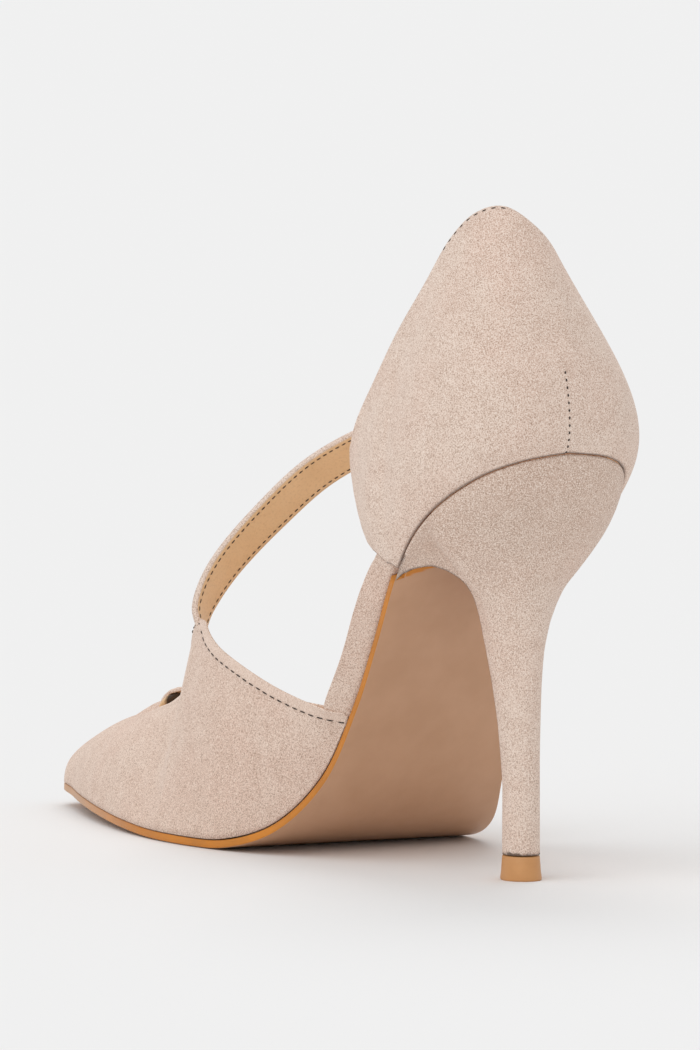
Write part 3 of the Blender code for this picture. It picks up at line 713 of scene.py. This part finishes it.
vamp_shape = bmesh.new()
vamp_shape.verts.layers.float.new("from_edge")
vamp_halves = {side: vamp_half(side) for side in (1, -1)}
vamp_ridge = (slice(sum(WING_ROWS[:-1]), None), -1)
vamp_seam = (vamp_halves[1][0][vamp_ridge] + vamp_halves[-1][0][vamp_ridge]) / 2
vamp_toe = (vamp_halves[1][0][-1] + vamp_halves[-1][0][-1]) / 2
for side in (1, -1):
    points, from_edge = vamp_halves[side]
    points[vamp_ridge] = vamp_seam
    points[-1] = vamp_toe
    mark(vamp_shape, "from_edge", lay_grid(vamp_shape, points), from_edge)
bmesh.ops.remove_doubles(vamp_shape, verts=vamp_shape.verts, dist=2 * WELD * MM)
face_out(vamp_shape, INSIDE_TOE)
vamp_suede = suede("vamp_suede", tone=VAMP_TONE, bound=True)
edge_suede = suede("edge_suede")
vamp = make_piece("vamp", vamp_shape, vamp_suede, lining, edge_suede)
skive(vamp)
give_wall(vamp, WALL)
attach(vamp, "root")
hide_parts("upper")

thread, _, _, thread_shader = new_finish("brown_thread")
thread_shader.inputs["Base Color"].default_value = (*THREAD_BROWN, 1)
thread_shader.inputs["Roughness"].default_value = 0.7
# Rows of stitches: the binding on each wing, and the short cross seam that holds the strap behind the tip
for name, side, first, last, distance, stitch in (
        ("binding_stitches_in", 1, 7.2, 11.1, BINDING_WIDE, BINDING_STITCH),
        ("binding_stitches_out", -1, 8.7, 12.9, BINDING_WIDE, BINDING_STITCH),
        ("tip_stitches", 1, 11.10, 11.34, TIP_MARGIN, TIP_STITCH)):
    points, from_edge = vamp_halves[side]
    stations = vamp_stations(side)
    rows = np.flatnonzero((stations > first) & (stations < last)).astype(float)
    columns = np.array([np.interp(-distance, -from_edge[int(row)], np.arange(VAMP_COLUMNS)) for row in rows])
    line, facing = seam_on(points, rows, columns, INSIDE_TOE)
    sew(name, line, facing, stitch, thread)

# Counter: the back of the upper, a stiff cup of lined suede around the heel, highest on the inner side.
# Its two front leaves leave the sole, and the outer one takes the strap.
COUNTER = table("station top_x top_y top_z belly", [
    (6.95, 61.0, 22.8, 100.0, 0.4),
    (6.45, 57.2, 23.2, 107.0, 1.4),
    (5.70, 50.0, 22.6, 117.0, 3.0),
    (5.20, 42.5, 21.0, 128.5, 4.2),
    (4.30, 34.0, 18.8, 140.0, 5.2),
    (3.30, 27.0, 16.0, 151.0, 6.0),
    (2.30, 20.5, 12.8, 157.5, 6.4),
    (1.20, 14.5, 8.0, 159.0, 6.8),
    (0.00, 11.0, 1.0, 153.5, 6.8),
    (-1.20, 13.5, -6.0, 146.5, 7.2),
    (-2.30, 20.0, -12.5, 139.0, 7.4),
    (-3.30, 28.0, -17.5, 132.5, 6.8),
    (-4.30, 37.0, -21.5, 126.5, 5.2),
    (-5.20, 46.0, -24.0, 121.0, 4.2),
    (-5.70, 53.0, -25.0, 117.0, 3.0),
    (-6.45, 61.0, -25.3, 112.5, 1.4),
    (-6.95, 66.0, -25.2, 110.5, 0.4),
])
# Lower edge of the front leaves, where they leave the sole
LEAF = table("station in_low out_low spread", [
    (4.70, 73.0, 73.0, 0.0),
    (4.80, 73.7, 73.7, 0.3),
    (4.95, 74.4, 74.4, 1.0),
    (5.15, 75.6, 75.7, 1.6),
    (5.35, 76.5, 77.0, 1.9),
    (5.60, 77.0, 78.4, 1.7),
    (5.90, 77.8, 81.4, 1.2),
    (6.20, 79.8, 85.4, 0.8),
    (6.50, 82.8, 91.0, 0.4),
    (6.75, 86.4, 96.0, 0.1),
    (6.95, 92.5, 99.6, 0.0),
])
COUNTER_COLUMNS = 60
COUNTER_FRONT = 6.95
BELLY_SHAPE = 0.7
# Station up to which the foot of the counter gets painted shade along its join with the heel and the strip
SEAM_SHADE_ENDS = 5.75
# Rows of stitches: the topline's stations and its distance from the collar in columns, then the row up the
# back by its stations and its shares of the height, from top to bottom
TOPLINE_SPAN = (0.95, 3.6)
TOPLINE_COLUMN = 1.45
TOPLINE_STITCH = (2.4, 1.2, 0.32, 0.0)
BACK_STATIONS = (0.22, 0.10)
BACK_SHARES = (0.38, -0.02)
BACK_POINTS = 40
BACK_STITCH = (1.78, 0.7, 0.5, 0.0)
# A point inside the heel cup that the counter faces away from
INSIDE_CUP = (40, 0, 120)


def counter_wall():
    """Outer face of the counter: from its inner front around the heel to its outer front, sole to collar."""
    half = np.concatenate([np.linspace(0, HEEL_BREAST - 0.03, 70), [HEEL_BREAST],
                           np.linspace(HEEL_BREAST + 0.1, COUNTER_FRONT, 40)])
    stations = np.concatenate([half[::-1], -half[1:]])
    rows = np.interp(-stations, -COUNTER["station"], np.arange(len(COUNTER["station"])))
    place = np.abs(stations)
    above = np.where(place >= HEEL_BREAST, FEATHER, 0)
    spread = np.interp(place, LEAF["station"], LEAF["spread"], left=0)
    foot = np.where((stations > 0)[:, None], layer(place, 1, above, (spread, spread)),
                    layer(place, -1, above, (spread, spread)))
    leaf = np.where(stations > 0, np.interp(place, LEAF["station"], LEAF["in_low"], left=0),
                    np.interp(place, LEAF["station"], LEAF["out_low"], left=0))
    foot[:, 2] = np.maximum(foot[:, 2], leaf)
    top = np.stack([along(COUNTER[name], rows) for name in ("top_x", "top_y", "top_z")], axis=-1)
    plain = np.where((stations > 0)[:, None], layer(place, 1, above), layer(place, -1, above))
    heading = np.gradient(plain * (1, 1, 0), axis=0)
    away = unit(np.stack([heading[:, 1], -heading[:, 0], 0 * rows], axis=-1))
    shares = np.linspace(0, 1, COUNTER_COLUMNS)
    belly = along(COUNTER["belly"], rows)[:, None] * np.sin(np.pi * shares ** BELLY_SHAPE)
    wall = foot[:, None] + (top - foot)[:, None] * shares[:, None] + away[:, None] * belly[..., None]
    return stations, wall


counter_shape = bmesh.new()
counter_shape.verts.layers.float.new("seam")
counter_stations, counter_points = counter_wall()
# The seam attribute holds painted shade along the counter's foot, at its joins with the heel and the strip
counter_seam_shade = np.zeros(counter_points.shape[:2])
counter_seam_shade[:, 0] = np.abs(counter_stations) < SEAM_SHADE_ENDS
mark(counter_shape, "seam", lay_grid(counter_shape, counter_points), counter_seam_shade)
face_out(counter_shape, INSIDE_CUP)
counter = make_piece("counter", counter_shape, suede("counter_suede", seam_shaded=True), lining, edge_suede)
give_wall(counter, WALL)
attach(counter, "root")

# Stitches of the inner topline, and the short row up the back where the heel seam is closed
in_topline = (counter_stations > TOPLINE_SPAN[0]) & (counter_stations < TOPLINE_SPAN[1])
topline_rows = np.flatnonzero(in_topline).astype(float)
topline_columns = np.full(len(topline_rows), COUNTER_COLUMNS - TOPLINE_COLUMN)
line, facing = seam_on(counter_points, topline_rows, topline_columns, INSIDE_CUP)
sew("topline_stitches", line, facing, TOPLINE_STITCH, thread)
back_stations = np.linspace(*BACK_STATIONS, BACK_POINTS)
back_rows = np.interp(-back_stations, -counter_stations, np.arange(len(counter_stations)))
back_columns = np.linspace(*BACK_SHARES, BACK_POINTS) * (COUNTER_COLUMNS - 1)
line, facing = seam_on(counter_points, back_rows, back_columns, INSIDE_CUP)
sew("back_stitches", line, facing, BACK_STITCH, thread)

# Strap: a narrow double strip, suede outside and tan leather inside, sewn along both edges.
# It grows out of the vamp's inner wing, crosses the instep and is sewn to the counter's outer leaf.
STRAP = table("x y z wide axis_x axis_z", [
    (134.8, 21.8, 42.5, 4.6, 129.0, 42.0),
    (135.4, 20.3, 49.5, 6.6, 122.0, 47.0),
    (136.6, 18.8, 56.5, 9.0, 106.0, 54.0),
    (134.2, 13.8, 66.5, 10.0, 90.0, 60.0),
    (127.5, 5.5, 78.5, 10.5, 80.0, 62.0),
    (119.0, -4.0, 90.0, 11.0, 78.0, 62.0),
    (106.0, -14.0, 98.5, 11.0, 78.0, 68.0),
    (88.0, -22.0, 103.5, 11.0, 75.0, 90.0),
    (72.0, -24.8, 105.0, 11.0, 70.0, 103.0),
    (61.0, -25.4, 105.4, 10.5, 61.0, 105.0),
])
STRAP_THICK = 1.6
STRAP_ROWS = 160
STRAP_COLUMNS = 13
STRAP_MARGIN = 1.1
STRAP_STITCH = (1.85, 1.2, 0.36, 0.03)
# A point under the strap that its suede faces away from
UNDER_STRAP = (90, 0, 50)


def strap_frame(rows):
    """Middle line of the strap with its crosswise and outward directions and its width."""
    line = np.stack([along(STRAP[name], rows) for name in ("x", "y", "z")], axis=-1)
    heading = unit(np.gradient(line, axis=0))
    away = line - np.stack([along(STRAP["axis_x"], rows), 0 * rows, along(STRAP["axis_z"], rows)], axis=-1)
    facing = unit(away - heading * (away * heading).sum(-1, keepdims=True))
    return line, np.cross(heading, facing), facing, along(STRAP["wide"], rows)


strap_rows = np.linspace(0, len(STRAP["x"]) - 1, STRAP_ROWS)
strap_line, strap_cross, strap_facing, strap_wide = strap_frame(strap_rows)
strap_lanes = np.linspace(-0.5, 0.5, STRAP_COLUMNS)
strap_face = strap_line[:, None] + strap_cross[:, None] * (strap_wide[:, None] * strap_lanes)[..., None]
strap_shape = bmesh.new()
lay_grid(strap_shape, strap_face + (strap_facing * STRAP_THICK / 2)[:, None])
face_out(strap_shape, UNDER_STRAP)
strap = make_piece("strap", strap_shape, suede("strap_suede"), lining, edge_suede)
give_wall(strap, STRAP_THICK)
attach(strap, "root")

# Stitches along both edges and on both faces, from above the wing to the strap's end
strap_sewn = slice(STRAP_ROWS // 6, STRAP_ROWS - 2)
for edge_name, side in (("front", 1), ("rear", -1)):
    for face_name, face in (("suede", 1), ("lining", -1)):
        line = strap_line + strap_cross * (side * (strap_wide / 2 - STRAP_MARGIN))[:, None]
        line = (line + strap_facing * (face * STRAP_THICK / 2))[strap_sewn]
        facing = strap_facing[strap_sewn] * face
        sew("strap_stitches_%s_%s" % (edge_name, face_name), line, facing, STRAP_STITCH, thread)

# Outsole: a thin leather sole, smooth brown underneath with an orange dyed edge, glued under the board.
# Behind the waist it narrows to a tongue under the heel seat.
SOLE_BROWN = (0.600, 0.345, 0.205)
SOLE_DEEP = (0.560, 0.318, 0.185)
EDGE_ORANGE = (0.620, 0.220, 0.018)
EDGE_PALE = (0.600, 0.350, 0.200)
EDGE_FADES = (35, 85)
# Columns of the sole's rings that lie on its inner and outer edge
SOLE_SIDES = ((16, 22), (37, 43))
SOLE_ROUND = 0.35
# Rows of the sole's mesh: first station, last station, rows. Behind the step it is narrowed to the tongue
SOLE_STEP = HEEL_BREAST + 0.015
SOLE_ROWS = (
    (TONGUE_END, 4.6, 8),
    (4.62, SOLE_STEP - 0.007, 24),
    (SOLE_STEP + 0.007, SOLE_STEP + 0.007, 1),
    (HEEL_BREAST + 0.12, 15.6, 130),
    (15.68, 17.9, 30),
)
# Stations where the dye on the underside ends in front of the heel, in the middle and at the edges
DYE_LINE = (4.42, 4.94)
DYE_SOFT = 0.05


def sole_leather(name):
    """Smooth sole leather: half matt, clouded and lightly worn."""
    finish, nodes, links, shader = new_finish(name)
    cloud = grain(nodes, links, 12.0, detail=4.0)
    pores = grain(nodes, links, 0.8, detail=4.0)
    base = blend_colour(nodes, links, between(nodes, links, cloud, 0.35, 0.65), SOLE_BROWN, SOLE_DEEP)
    toward_toe = between(nodes, links, own_place(nodes, links, "X"), *(mm * MM for mm in EDGE_FADES))
    rim = blend_colour(nodes, links, toward_toe, EDGE_ORANGE, EDGE_PALE)
    rim = blend_colour(nodes, links, 1.0, rim, between(nodes, links, cloud, 0.3, 0.7, 0.85, 1.1), "MULTIPLY")
    base = blend_colour(nodes, links, between(nodes, links, kept_number(nodes, "dye"), 0.3, 0.7), base, rim)
    links.new(base, shader.inputs["Base Color"])
    links.new(between(nodes, links, cloud, 0.3, 0.7, 0.40, 0.55), shader.inputs["Roughness"])
    raise_nap(nodes, links, shader, [(pores, 0.02)])
    return finish


sole_stations = np.concatenate([np.linspace(*span) for span in SOLE_ROWS])
sole_spreads = [np.where(sole_stations < SOLE_STEP, -(WALL + 2 * SEAM_GAP), 0.0)] * 2
sole_low = np.zeros(len(sole_stations))
sole_high = sole_low + SOLE_THICK
sole_rings = rounded_layer(sole_stations, sole_low, sole_high, sole_spreads, sole_spreads, SOLE_ROUND)
sole_dye = np.zeros(sole_rings.shape[:2])
sole_lanes = np.linspace(-1, 1, LANES)
heel_line = DYE_LINE[0] + (DYE_LINE[1] - DYE_LINE[0]) * np.abs(sole_lanes)
sole_dye[:, :LANES] = np.clip(0.5 + (heel_line - sole_stations[:, None]) / DYE_SOFT, 0, 1)
for low, high in SOLE_SIDES:
    sole_dye[:, low:high] = 1
sole_shape = bmesh.new()
sole_shape.verts.layers.float.new("dye")
mark(sole_shape, "dye", lay_grid(sole_shape, sole_rings), sole_dye)
close_rings(sole_shape)
outsole = make_piece("outsole_leather", sole_shape, sole_leather("sole_leather"))
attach(outsole, "root")
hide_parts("outsole")

# Heel: a tall slim plastic block, hollowed at its breast and covered in the suede of the upper.
# The cover is pulled tight, glued, and turned in under the seat and at the tip.
# Height up the heel, the shares of the way from stem to seat at its back and its breast, and the lip's lift
FLARE = table("height back corner lip", [
    (0.00, 0.000, 0.000, 0.00),
    (0.25, 0.000, 0.000, 0.00),
    (0.45, 0.020, 0.045, 0.12),
    (0.56, 0.060, 0.105, 0.36),
    (0.66, 0.150, 0.166, 0.52),
    (0.72, 0.250, 0.200, 0.57),
    (0.77, 0.370, 0.232, 0.61),
    (0.82, 0.560, 0.282, 0.68),
    (0.87, 0.735, 0.370, 0.75),
    (0.92, 0.885, 0.505, 0.81),
    (0.96, 0.965, 0.660, 0.90),
    (0.985, 0.990, 0.820, 0.95),
    (1.00, 1.000, 1.000, 1.00),
])
STEM_X = 20.6
STEM_LONG = 4.9
STEM_WIDE = 4.2
TIP_FLARE = 0.05
TIP_FLARE_TOP = 0.3
LIFT_TALL = 5.8
BREAST_HOLLOW = 1.30
HOLLOW_SHAPE = 0.5
# Where the heel's sides go over to its breast, and where they lie flush with the upper just below the seam
CORNER_SPAN = (20, 33)
FLUSH_SPAN = (33, 38.5)
FLUSH_LEVELS = (0.95, 0.99)
# Heights between which the cover gets painted shade, darkest at the top under the counter
HEEL_SHADE_HEIGHTS = (62, 84)
# Middle of the seat that the stem's points are turned about, and how its width counts in that
SEAT_MIDDLE = 24.6
SEAT_NARROW = 0.9
HEEL_LANES = 41
# Rows of the seat and levels of the wall: first, last, how many
SEAT_ROWS = ((HEEL_BREAST, 1, 40), (0.92, 0.15, 10))
HEEL_LEVELS = ((0, 0.45, 30), (0.46, 1.0, 80))
SEAT_POINTS = 40


def heel_seat():
    """Grid of the heel's seat, from the hollowed breast to the back, inner to outer side."""
    lanes = np.linspace(1, -1, HEEL_LANES)
    rows = np.concatenate([np.linspace(*span) for span in SEAT_ROWS])
    below = np.full(len(rows), -SEAM_GAP)
    hollow = 1 - BREAST_HOLLOW / HEEL_BREAST * (1 - lanes ** 2) ** HOLLOW_SHAPE
    return np.stack([layer(rows * short, lane, below) for short, lane in zip(hollow, lanes)], axis=1)


def heel_wall(seat):
    """Wall of the heel: rings from its tip up to the rim of the seat."""
    rim = np.concatenate([seat[:-1, 0], seat[-1, :-1], seat[:0:-1, -1], seat[0, :0:-1], seat[:1, 0]])
    on_breast = np.arange(len(rim)) >= len(rim) - HEEL_LANES
    corner = np.where(on_breast, 1, step(*CORNER_SPAN, rim[:, 0]))
    centre = np.array((STEM_X, 0.0, 0.0))
    turn = np.arctan2(rim[:, 1] * SEAT_NARROW, rim[:, 0] - SEAT_MIDDLE)
    stem = np.stack([STEM_LONG * np.cos(turn), STEM_WIDE * np.sin(turn), 0 * turn], axis=-1)
    bottom = LIFT_TALL + SEAM_GAP
    seat_line = layer(np.linspace(0, HEEL_BREAST, SEAT_POINTS), 0, np.full(SEAT_POINTS, -SEAM_GAP))
    rings = []
    for level in np.concatenate([np.linspace(*span) for span in HEEL_LEVELS]):
        row = np.interp(level, FLARE["height"], np.arange(len(FLARE["height"])))
        out = along(FLARE["back"], row) * (1 - corner) + along(FLARE["corner"], row) * corner
        flush = step(*FLUSH_LEVELS, level) * (1 - step(*FLUSH_SPAN, rim[:, 0]))
        out = np.where(on_breast, out, np.maximum(out, flush))
        base = centre + stem * (1 + TIP_FLARE / STEM_WIDE * (1 - step(0, TIP_FLARE_TOP, level)))
        ring = base + (rim - base) * out[:, None]
        under_seat = np.interp(ring[:, 0], seat_line[:, 0], seat_line[:, 2]) - rim[:, 2]
        lip = along(FLARE["lip"], row) * under_seat * corner * (level < 1)
        ring[:, 2] = bottom + (rim[:, 2] - bottom) * level + lip
        rings.append(ring)
    return np.array(rings)


heel_shape = bmesh.new()
heel_top = heel_seat()
lay_grid(heel_shape, heel_wall(heel_top))
lay_grid(heel_shape, heel_top)
close_rings(heel_shape)
# The heel's cover has painted shade on its upper flank under the counter and in a ragged band at its hem
heel_cover = suede("heel_suede", shade_heights_mm=HEEL_SHADE_HEIGHTS, hem_shade_mm=LIFT_TALL + SEAM_GAP)
heel = make_piece("heel_suede", heel_shape, heel_cover)
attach(heel, "root")
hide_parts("heel")

# Top lift: the moulded plastic tip under the heel, pinned into the block.
# It is the one small face that the heel stands on.
LIFT_TAN = (0.690, 0.345, 0.135)
LIFT_DEEP = (0.560, 0.265, 0.095)
LIFT_SIDES = 64
# Height up the lift, and how far it stands out past the stem
LIFT = table("z grow", [
    (0.0, 0.3),
    (0.15, 0.45),
    (0.5, 0.5),
    (2.0, 0.3),
    (LIFT_TALL - 0.3, 0.05),
    (LIFT_TALL, -0.1),
])


def lift_plastic(name):
    """Moulded plastic: half matt, a little clouded."""
    finish, nodes, links, shader = new_finish(name)
    cloud = grain(nodes, links, 4.0, detail=4.0)
    links.new(blend_colour(nodes, links, cloud, LIFT_TAN, LIFT_DEEP), shader.inputs["Base Color"])
    links.new(between(nodes, links, cloud, 0.3, 0.7, 0.35, 0.5), shader.inputs["Roughness"])
    return finish


lift_shape = bmesh.new()
lift_z, lift_turn = np.meshgrid(LIFT["z"], np.linspace(0, 2 * np.pi, LIFT_SIDES + 1), indexing="ij")
lift_grow = LIFT["grow"][:, None]
lift_x = STEM_X + (STEM_LONG + lift_grow) * np.cos(lift_turn)
lift_y = (STEM_WIDE + lift_grow) * np.sin(lift_turn)
lay_grid(lift_shape, np.stack([lift_x, lift_y, lift_z], axis=-1))
close_rings(lift_shape)
top_lift = make_piece("top_lift_plastic", lift_shape, lift_plastic("lift_plastic"))
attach(top_lift, "root")
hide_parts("top_lift")

# Studio: a pale floor that runs out of view, a soft sky, and a broad lamp on each side of the shoe.
# None of it is part of the shoe.
FLOOR_PALE = (0.86, 0.86, 0.86)
FLOOR_REACH = 40
SKY_BRIGHT = 0.65
floor_shape = bmesh.new()
bmesh.ops.create_circle(floor_shape, cap_ends=True, segments=64, radius=FLOOR_REACH)
floor_finish, _, _, floor_shader = new_finish("floor")
floor_shader.inputs["Base Color"].default_value = (*FLOOR_PALE, 1)
floor_shader.inputs["Roughness"].default_value = 0.9
floor_shader.inputs["Specular IOR Level"].default_value = 0.0
floor = make_piece("floor", floor_shape, floor_finish)

world = bpy.data.worlds.new("studio")
bpy.context.scene.world = world
world.use_nodes = True
world.node_tree.nodes["Background"].inputs["Color"].default_value = (1, 1, 1, 1)
world.node_tree.nodes["Background"].inputs["Strength"].default_value = SKY_BRIGHT
for lamp_name, energy, spread, shines in (("near_lamp", 0.80, 60, (0.30, -0.75, -1.0)),
                                          ("far_lamp", 0.66, 40, (-0.65, 0.40, -1.0))):
    lamp = bpy.data.lights.new(lamp_name, "SUN")
    lamp.energy = energy
    lamp.angle = math.radians(spread)
    lamp_stand = bpy.data.objects.new(lamp_name, lamp)
    lamp_stand.rotation_euler = Vector(shines).to_track_quat("-Z", "Y").to_euler()
    bpy.context.scene.collection.objects.link(lamp_stand)
bpy.context.scene.view_settings.view_transform = "Standard"

# Camera: low, behind the shoe and on its inner side, with a long lens as in the photograph.
# It aims at the middle of the shoe and is nudged a little in its own plane, to the photograph's framing.
CAMERA_TURN = math.radians(31.068)
CAMERA_RISE = math.radians(4.727)
CAMERA_FAR = 2500.0
CAMERA_LENS = 355.7
CAMERA_SENSOR = 36
CAMERA_SEES = 200
CAMERA_AIM = Vector((95.0, 0.0, 70.0))
CAMERA_NUDGE = (-1.848, 8.426)
back = Vector((-math.cos(CAMERA_TURN) * math.cos(CAMERA_RISE), math.sin(CAMERA_TURN) * math.cos(CAMERA_RISE),
               math.sin(CAMERA_RISE)))
right = Vector((-math.sin(CAMERA_TURN), -math.cos(CAMERA_TURN), 0))
up = back.cross(right)
eye = CAMERA_AIM + right * CAMERA_NUDGE[0] + up * CAMERA_NUDGE[1] + back * CAMERA_FAR
eye = (eye - Vector((MIDDLE_X, MIDDLE_Y, 0))) * MM
lens = bpy.data.cameras.new("camera")
lens.lens = CAMERA_LENS
lens.sensor_width = CAMERA_SENSOR
lens.clip_end = CAMERA_SEES
camera = bpy.data.objects.new("camera", lens)
camera.matrix_world = Matrix.Translation(eye) @ Matrix((right, up, back)).transposed().to_4x4()
bpy.context.scene.collection.objects.link(camera)
bpy.context.scene.camera = camera
